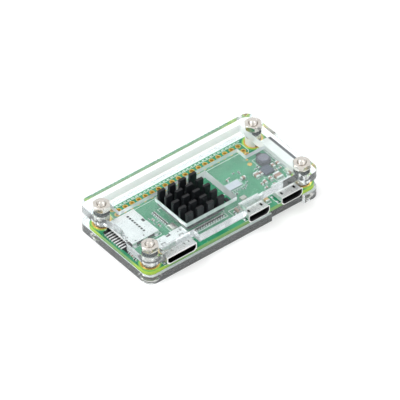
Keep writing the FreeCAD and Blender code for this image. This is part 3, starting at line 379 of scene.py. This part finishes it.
def dress_nodes():
    """Give every CAD node the finish of its material slot, or its own where it has one."""
    for part in frame["record"]["subparts"]:
        node = frame["nodes"][part["node"]]
        slot = part["material_slot"]
        for material_slot in node.material_slots:
            material_slot.material = FINISHES[NODE_FINISHES.get(part["node"], slot)]
        if slot in EDGES:
            soften(node, EDGES[slot])
    for name in ("hdmi_shell", "usb_data_shell", "usb_power_shell"):
        frame["nodes"][name].material_slots[0].material = shell_steel(name)


dress_nodes()


# ---------------------------------------------------------------- mesh helpers

def piece(name, verts, faces, finish, smooth=False):
    """A new part of the object as one mesh, fixed to the board assembly."""
    mesh = bpy.data.meshes.new(name)
    mesh.from_pydata([tuple(v) for v in verts], [], faces)
    mesh.validate()
    for polygon in mesh.polygons:
        polygon.use_smooth = smooth
    mesh.materials.append(FINISHES[finish])
    thing = bpy.data.objects.new(name, mesh)
    bpy.context.scene.collection.objects.link(thing)
    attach(thing, BODY)
    return thing


def prism_faces(count):
    """The two ends and the sides of a solid between two outlines of so many corners."""
    sides = [(i, (i + 1) % count, (i + 1) % count + count, i + count) for i in range(count)]
    return [tuple(reversed(range(count))), tuple(range(count, 2 * count)), *sides]


class Build:
    """Vertices and faces gathered from many small shapes."""

    def __init__(self):
        self.verts = []
        self.faces = []

    def add(self, verts, faces):
        start = len(self.verts)
        self.verts += verts
        self.faces += [tuple(index + start for index in face) for face in faces]

    def prism(self, outline, low, high):
        """An outline of places in plan, raised from one height to another."""
        verts = [Vector((x, y, z)) for z in (low, high) for x, y in outline]
        self.add(verts, prism_faces(len(outline)))


def ring_points(x, y, radius, sides=24):
    """Places round a circle."""
    turn = [2 * math.pi * step / sides for step in range(sides)]
    return [(x + radius * math.cos(a), y + radius * math.sin(a)) for a in turn]


def loose_boxes(node):
    """The middle and half size of each separate solid in a CAD node."""
    mesh = bmesh.new()
    mesh.from_mesh(frame["nodes"][node].data)
    bmesh.ops.remove_doubles(mesh, verts=mesh.verts, dist=0.0005 * MM)
    boxes, seen = [], set()
    for vert in mesh.verts:
        if vert in seen:
            continue
        queue, solid = [vert], []
        seen.add(vert)
        while queue:
            current = queue.pop()
            solid.append(current.co.copy())
            for edge in current.link_edges:
                other = edge.other_vert(current)
                if other not in seen:
                    seen.add(other)
                    queue.append(other)
        low = Vector([min(co[axis] for co in solid) for axis in range(3)])
        high = Vector([max(co[axis] for co in solid) for axis in range(3)])
        boxes.append(((low + high) / 2, (high - low) / 2))
    mesh.free()
    return boxes


# ---------------------------------------------------------------- screws

THREAD_PITCH = 0.45 * MM
THREAD_DEPTH = 0.17 * MM
THREAD_SIDES = 32
SHANK_RADIUS = 1.25 * MM
HEAD_SIDES = 48
RINGS_PER_TURN = 8


def carve(target, tool):
    """Cut one object from another for good, and remove the tool."""
    cutter = target.modifiers.new("Cut", "BOOLEAN")
    cutter.operation = "DIFFERENCE"
    cutter.solver = "EXACT"
    cutter.object = tool
    graph = bpy.context.evaluated_depsgraph_get()
    result = bpy.data.meshes.new_from_object(target.evaluated_get(graph))
    target.modifiers.clear()
    target.data = result
    bpy.data.objects.remove(tool)


def loose_object(build):
    """A bare object from a build, for use as a tool."""
    mesh = bpy.data.meshes.new("tool")
    mesh.from_pydata([tuple(v) for v in build.verts], [], build.faces)
    thing = bpy.data.objects.new("tool", mesh)
    bpy.context.scene.collection.objects.link(thing)
    return thing


def turned_solid(build, x, y, profile, sides):
    """A closed solid turned about an upright axis, from (radius, height) pairs going up."""
    verts = [Vector((*place, z)) for radius, z in profile for place in ring_points(x, y, radius, sides)]
    faces = [tuple(reversed(range(sides)))]
    for ring in range(len(profile) - 1):
        low = ring * sides
        for step in range(sides):
            after = (step + 1) % sides
            faces.append((low + step, low + after, low + sides + after, low + sides + step))
    top = (len(profile) - 1) * sides
    faces.append(tuple(range(top, top + sides)))
    build.add(verts, faces)


def cross_tool(x, y):
    """The tapered cross of a driver tip, from under the head up into it."""
    levels = ((-0.2 * MM, 1.36 * MM, 0.36 * MM), (1.25 * MM, 0.55 * MM, 0.22 * MM))
    verts = []
    for z, reach, half in levels:
        outline = [(reach, -half), (reach, half), (half, half), (half, reach),
                   (-half, reach), (-half, half), (-reach, half), (-reach, -half),
                   (-half, -half), (-half, -reach), (half, -reach), (half, -half)]
        verts += [Vector((x + px, y + py, z)) for px, py in outline]
    tool = Build()
    tool.add(verts, prism_faces(len(outline)))
    return tool


def threaded_shank(build, x, y, radius, low, high):
    """A screw's shank with a real helical thread and a chamfered tip."""
    rise = THREAD_PITCH / RINGS_PER_TURN
    count = int((high - low) / rise) + 1
    verts = []
    for ring in range(count + 1):
        z = min(low + ring * rise, high)
        tip = radius - 0.45 * MM + (high - z)
        for step in range(THREAD_SIDES):
            turn = step / THREAD_SIDES
            phase = ((z - low) / THREAD_PITCH - turn) % 1
            crest = radius - THREAD_DEPTH * max(0.0, abs(2 * phase - 1) * 1.25 - 0.25)
            reach = min(crest, tip)
            angle = 2 * math.pi * turn
            verts.append(Vector((x + reach * math.cos(angle), y + reach * math.sin(angle), z)))
    faces = [tuple(reversed(range(THREAD_SIDES)))]
    for ring in range(count):
        start = ring * THREAD_SIDES
        for step in range(THREAD_SIDES):
            after = (step + 1) % THREAD_SIDES
            faces.append((start + step, start + after, start + THREAD_SIDES + after,
                          start + THREAD_SIDES + step))
    faces.append(tuple(range(count * THREAD_SIDES, (count + 1) * THREAD_SIDES)))
    build.add(verts, faces)


def build_screws():
    """Four countersunk screws with threads and cross recesses, in place of the plain ones."""
    low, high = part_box("case_screws")
    head_radius = HOLES[0][0] - low.x
    cone = head_radius - SHANK_RADIUS
    threads = Build()
    heads = []
    for x, y in HOLES:
        head = Build()
        profile = [(head_radius - 0.12 * MM, 0.0), (head_radius, 0.1 * MM), (head_radius, 0.2 * MM),
                   (SHANK_RADIUS, cone + 0.05 * MM), (SHANK_RADIUS, cone + 0.5 * MM)]
        turned_solid(head, x, y, profile, HEAD_SIDES)
        solid = loose_object(head)
        carve(solid, loose_object(cross_tool(x, y)))
        heads.append(solid)
        threaded_shank(threads, x, y, SHANK_RADIUS, cone + 0.35 * MM, high.z)
    for solid in heads:
        threads.add([v.co.copy() for v in solid.data.vertices],
                    [tuple(p.vertices) for p in solid.data.polygons])
        bpy.data.objects.remove(solid)
    screws = piece("threaded_screws", threads.verts, threads.faces, "nickel_steel")
    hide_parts("case_screws")


# ---------------------------------------------------------------- white printed lines

LINE = 0.14 * MM
INK = 0.02 * MM
# In millimetres: the header's columns, and the dashes along the rear edge
HEADER_COLUMNS, HEADER_PITCH = 20, 2.54
DASH_COUNT, DASH_START, DASH_STEP, DASH_LENGTH, DASH_Y = 34, 8.0, 1.5, 0.9, 29.45


def rounded(left, front, right, back, radius):
    """A rectangle with round corners as places on the board, in millimetres."""
    corners = ((right - radius, front + radius, -90), (right - radius, back - radius, 0),
               (left + radius, back - radius, 90), (left + radius, front + radius, 180))
    points = []
    for x, y, start in corners:
        for step in range(7):
            angle = math.radians(start + 15 * step)
            points.append((x + radius * math.cos(angle), y + radius * math.sin(angle)))
    return points


def bracket(left, front, right, back, arm):
    """Four corner marks round a part, in millimetres."""
    marks = []
    for x, inward_x in ((left, arm), (right, -arm)):
        for y, inward_y in ((front, arm), (back, -arm)):
            marks.append([(x + inward_x, y), (x, y), (x, y + inward_y)])
    return marks


def draw_line(build, points, closed, z, sign, width=LINE):
    """A flat printed line through places on the board, with mitred joints."""
    places = [on_board(x, y) for x, y in points]
    count = len(places)
    outer, inner = [], []
    for step, place in enumerate(places):
        before = places[step - 1] if closed or step else None
        after = places[(step + 1) % count] if closed or step < count - 1 else None
        ways = []
        if before is not None:
            ways.append((place - before).xy.normalized())
        if after is not None:
            ways.append((after - place).xy.normalized())
        way = sum(ways, Vector((0, 0))).normalized()
        normal = Vector((-way.y, way.x))
        spread = width / 2 / max(0.5, way.dot(ways[0]))
        outer.append(place.xy + normal * spread)
        inner.append(place.xy - normal * spread)
    low, high = sorted((z, z + sign * INK))
    span = count if closed else count - 1
    for step in range(span):
        after = (step + 1) % count
        quad = [outer[step], outer[after], inner[after], inner[step]]
        build.prism([(v.x, v.y) for v in reversed(quad)], low, high)


FACE_OUTLINES = [
    rounded(6.5, 23.75, 58.1, 29.0, 1.2), rounded(18.3, 4.0, 33.6, 5.9, 0.1),
    rounded(60.6, 6.2, 64.7, 23.7, 0.15), rounded(2.2, 10.2, 13.3, 23.5, 0.2),
    rounded(40.2, 11.7, 46.2, 15.2, 0.15), rounded(54.8, 13.9, 59.7, 18.9, 0.2),
    rounded(54.9, 6.8, 57.7, 9.8, 0.1), rounded(16.2, 8.9, 18.9, 12.0, 0.12),
    rounded(46.7, 1.9, 48.6, 4.5, 0.12), rounded(59.4, 7.5, 61.0, 9.7, 0.1),
    rounded(35.0, 2.6, 38.4, 5.6, 0.1), rounded(6.3, -0.1, 18.5, 7.3, 0.1),
    rounded(37.1, 0.0, 45.7, 4.8, 0.1), rounded(49.7, 0.0, 58.3, 4.8, 0.1),
]
FACE_BRACKETS = [
    (19.0, 6.3, 34.0, 19.4, 1.3), (52.9, 10.3, 57.5, 14.4, 0.7), (35.4, 8.6, 39.8, 13.6, 0.6),
]
UNDER_OUTLINES = [
    rounded(6.5, 23.75, 58.1, 29.0, 1.2), rounded(17.0, 5.0, 36.5, 20.5, 0.4),
    rounded(40.0, 8.0, 57.0, 20.0, 0.4), rounded(6.0, 6.0, 15.5, 20.0, 0.3),
]


def print_outlines():
    """White lines on both faces: part outlines, corner marks, rear dashes and ticks under the header."""
    lines = Build()
    face, under = BOARD_HIGH.z, BOARD_LOW.z
    for outline in FACE_OUTLINES:
        draw_line(lines, outline, True, face, 1)
    for left, front, right, back, arm in FACE_BRACKETS:
        for mark in bracket(left, front, right, back, arm):
            draw_line(lines, mark, False, face, 1)
    for step in range(DASH_COUNT):
        start = DASH_START + DASH_STEP * step
        dash = [(start, DASH_Y), (start + DASH_LENGTH, DASH_Y)]
        draw_line(lines, dash, False, face, 1, width=0.22 * MM)
    for outline in UNDER_OUTLINES:
        draw_line(lines, outline, True, under, -1)
    for step in range(HEADER_COLUMNS):
        x = 7.0 + HEADER_PITCH * step + HEADER_PITCH / 2
        draw_line(lines, [(x, 24.6), (x, 28.2)], False, under, -1, width=0.1 * MM)
    piece("printed_lines", lines.verts, lines.faces, "silkscreen")


# ---------------------------------------------------------------- solder

def solder_fillets():
    """A concave wedge of solder at the outer foot of every tinned end."""
    solder = Build()
    for family in ("capacitor", "bulk_capacitor", "resistor", "decoupling", "input_fuse"):
        bodies = [middle for middle, _ in loose_boxes(f"{family}_ceramic")]
        for middle, half in loose_boxes(f"{family}_terminals"):
            nearest = min(bodies, key=lambda body: (body - middle).length)
            away = (middle - nearest).xy
            axis = 0 if abs(away.x) > abs(away.y) else 1
            sign = math.copysign(1, away[axis])
            foot = min(0.22 * MM, half.z * 0.7)
            climb = half.z * 1.5
            ground = middle.z - half.z
            wide = half[1 - axis] + 0.03 * MM
            section = [(0.0, 0.0)]
            for step in range(5):
                angle = math.pi / 2 * step / 4
                section.append((foot * (1 - math.cos(angle)), climb * (1 - math.sin(angle))))
            verts = []
            for edge in (-wide, wide):
                for out, up in section:
                    place = Vector((middle.x, middle.y, ground + up))
                    place[axis] += sign * (half[axis] - 0.01 * MM + out)
                    place[1 - axis] += edge
                    verts.append(place)
            faces = prism_faces(len(section))
            if (sign > 0) == (axis == 0):
                faces = [tuple(reversed(face)) for face in faces]
            solder.add(verts, faces)
    piece("solder_fillets", solder.verts, solder.faces, "solder")


def solder_dome(build, x, y, radius, height, stretch=1.0):
    """A low dome of solder on the board's face, drawn out along X by the stretch."""
    verts, sides, rows = [], 16, 4
    for row in range(rows):
        angle = math.pi / 2 * row / rows
        for px, py in ring_points(0, 0, radius * math.cos(angle) ** 0.7, sides):
            verts.append(on_board(x, y) + Vector((px * stretch, py, height * math.sin(angle))))
    verts.append(on_board(x, y) + Vector((0, 0, height)))
    faces = [tuple(reversed(range(sides)))]
    for row in range(rows - 1):
        for step in range(sides):
            after = (step + 1) % sides
            faces.append((row * sides + step, row * sides + after, (row + 1) * sides + after,
                          (row + 1) * sides + step))
    for step in range(sides):
        faces.append(((rows - 1) * sides + step, (rows - 1) * sides + (step + 1) % sides, rows * sides))
    build.add(verts, faces)


def socket_joints():
    """Solder where the sockets' shell tabs and the cable socket's contacts meet the board."""
    domes = Build()
    for node in ("hdmi_shell", "usb_data_shell", "usb_power_shell"):
        low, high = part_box(node)
        left, right = (low.x - BOARD_LOW.x) / MM, (high.x - BOARD_LOW.x) / MM
        back = (high.y - BOARD_LOW.y) / MM
        for x in (left + 0.1, right - 0.1):
            for y in (0.9, back - 0.9):
                solder_dome(domes, x, y, 0.55 * MM, 0.28 * MM, stretch=0.8)
    low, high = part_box("card_socket_shell")
    left, right = (low.x - BOARD_LOW.x) / MM, (high.x - BOARD_LOW.x) / MM
    for x in (left + 0.9, (left + right) / 2, right - 0.9):
        for y in ((low.y - BOARD_LOW.y) / MM, (high.y - BOARD_LOW.y) / MM):
            solder_dome(domes, x, y, 0.5 * MM, 0.22 * MM, stretch=1.5)
    piece("socket_solder", domes.verts, domes.faces, "solder", smooth=True)
    feet = Build()
    for node in ("camera_socket_contacts", "card_socket_contacts"):
        node_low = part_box(node)[0]
        for middle, _ in loose_boxes(node):
            x = (node_low.x - BOARD_LOW.x) / MM + 0.22
            y = (middle.y - BOARD_LOW.y) / MM
            solder_dome(feet, x, y, 0.17 * MM, 0.16 * MM, stretch=2.0)
    piece("contact_solder", feet.verts, feet.faces, "solder", smooth=True)


# ---------------------------------------------------------------- small marks

def pin_marks():
    """A shallow round mark at the first pin of each moulded package."""
    marks = Build()
    for node in ("power_regulator", "logic_chips", "memory_package"):
        for middle, half in loose_boxes(node):
            inset = 0.22 * min(half.x, half.y) + 0.12 * MM
            radius = 0.11 * min(half.x, half.y) + 0.03 * MM
            top = middle.z + half.z
            x, y = middle.x - half.x + inset, middle.y + half.y - inset
            marks.prism(ring_points(x, y, radius), top - 0.01 * MM, top + 0.006 * MM)
    piece("pin_marks", marks.verts, marks.faces, "grey_moulding")


build_screws()
print_outlines()
solder_fillets()
socket_joints()
pin_marks()


# ---------------------------------------------------------------- floor, light and camera

FLOOR_GAP = 0.1 * MM
FLOOR_RADIUS = 3.0
FLOOR_GLOW = 0.24
SKY_STRENGTH = 0.98


def build_floor():
    """A plain pale floor that glows softly, as a light table does."""
    floor = Build()
    rim = ring_points(0, 0, FLOOR_RADIUS, 64)
    floor.add([Vector((*place, -FLOOR_GAP)) for place in rim], [tuple(range(len(rim)))])
    mesh = bpy.data.meshes.new("floor")
    mesh.from_pydata([tuple(v) for v in floor.verts], [], floor.faces)
    graph = Graph("floor")
    pale = graph.blend(graph.noise(0.3), (0.8, 0.8, 0.8, 1), (0.83, 0.83, 0.83, 1))
    graph.set(Base_Color=pale, Roughness=0.9, Emission_Color=(1, 1, 1, 1), Emission_Strength=FLOOR_GLOW)
    mesh.materials.append(graph.material)
    thing = bpy.data.objects.new("floor", mesh)
    bpy.context.scene.collection.objects.link(thing)


def soft_light(name, place, width, power):
    """A large square light aimed at the middle of the object."""
    data = bpy.data.lights.new(name, "AREA")
    data.size = width
    data.energy = power
    light = bpy.data.objects.new(name, data)
    bpy.context.scene.collection.objects.link(light)
    light.location = place
    light.rotation_euler = (-Vector(place)).to_track_quat("-Z", "Y").to_euler()


def light_scene():
    """White surroundings, darker towards the horizon, with a large soft key from the left and behind."""
    world = bpy.data.worlds.new("studio")
    world.use_nodes = True
    tree = world.node_tree
    background = tree.nodes["Background"]
    direction = tree.nodes.new("ShaderNodeTexCoord").outputs["Generated"]
    split = tree.nodes.new("ShaderNodeSeparateXYZ")
    tree.links.new(direction, split.inputs[0])
    fade = tree.nodes.new("ShaderNodeValToRGB")
    tree.links.new(split.outputs["Z"], fade.inputs[0])
    fade.color_ramp.elements[0].position = 0.05
    fade.color_ramp.elements[0].color = (0.62, 0.63, 0.64, 1)
    fade.color_ramp.elements[1].position = 0.45
    fade.color_ramp.elements[1].color = (1, 1, 1, 1)
    tree.links.new(fade.outputs[0], background.inputs["Color"])
    background.inputs["Strength"].default_value = SKY_STRENGTH
    bpy.context.scene.world = world
    soft_light("key_light", (-0.35, 0.25, 0.5), 0.35, 1.6)
    soft_light("fill_light", (0.1, -0.5, 0.45), 0.4, 0.5)


CAMERA_AZIMUTH = math.radians(-38.62)
CAMERA_HEIGHT_ANGLE = math.radians(41.63)
CAMERA_ROLL = math.radians(-0.27)
CAMERA_DISTANCE = 2.13865
CAMERA_AIM = Vector((0, -0.00105, 0.00735))
CAMERA_SLIDE = (-0.000594, -0.001643)
CAMERA_SENSOR = 36.0
CAMERA_LENS = 645.8


def place_camera():
    """A long lens looking down over the front left corner."""
    flat = math.cos(CAMERA_HEIGHT_ANGLE)
    back = Vector((math.sin(CAMERA_AZIMUTH) * flat, -math.cos(CAMERA_AZIMUTH) * flat,
                   math.sin(CAMERA_HEIGHT_ANGLE)))
    level = Vector((math.cos(CAMERA_AZIMUTH), math.sin(CAMERA_AZIMUTH), 0))
    rise = back.cross(level)
    right = math.cos(CAMERA_ROLL) * level + math.sin(CAMERA_ROLL) * rise
    up = math.cos(CAMERA_ROLL) * rise - math.sin(CAMERA_ROLL) * level
    place = CAMERA_AIM + CAMERA_DISTANCE * back + CAMERA_SLIDE[0] * right + CAMERA_SLIDE[1] * up
    data = bpy.data.cameras.new("camera")
    data.sensor_width = CAMERA_SENSOR
    data.lens = CAMERA_LENS
    data.clip_end = 10
    camera = bpy.data.objects.new("camera", data)
    bpy.context.scene.collection.objects.link(camera)
    camera.matrix_world = Matrix.Translation(place) @ Matrix((right, up, back)).transposed().to_4x4()
    bpy.context.scene.camera = camera


build_floor()
light_scene()
place_camera()
bpy.context.scene.view_settings.view_transform = "Standard"
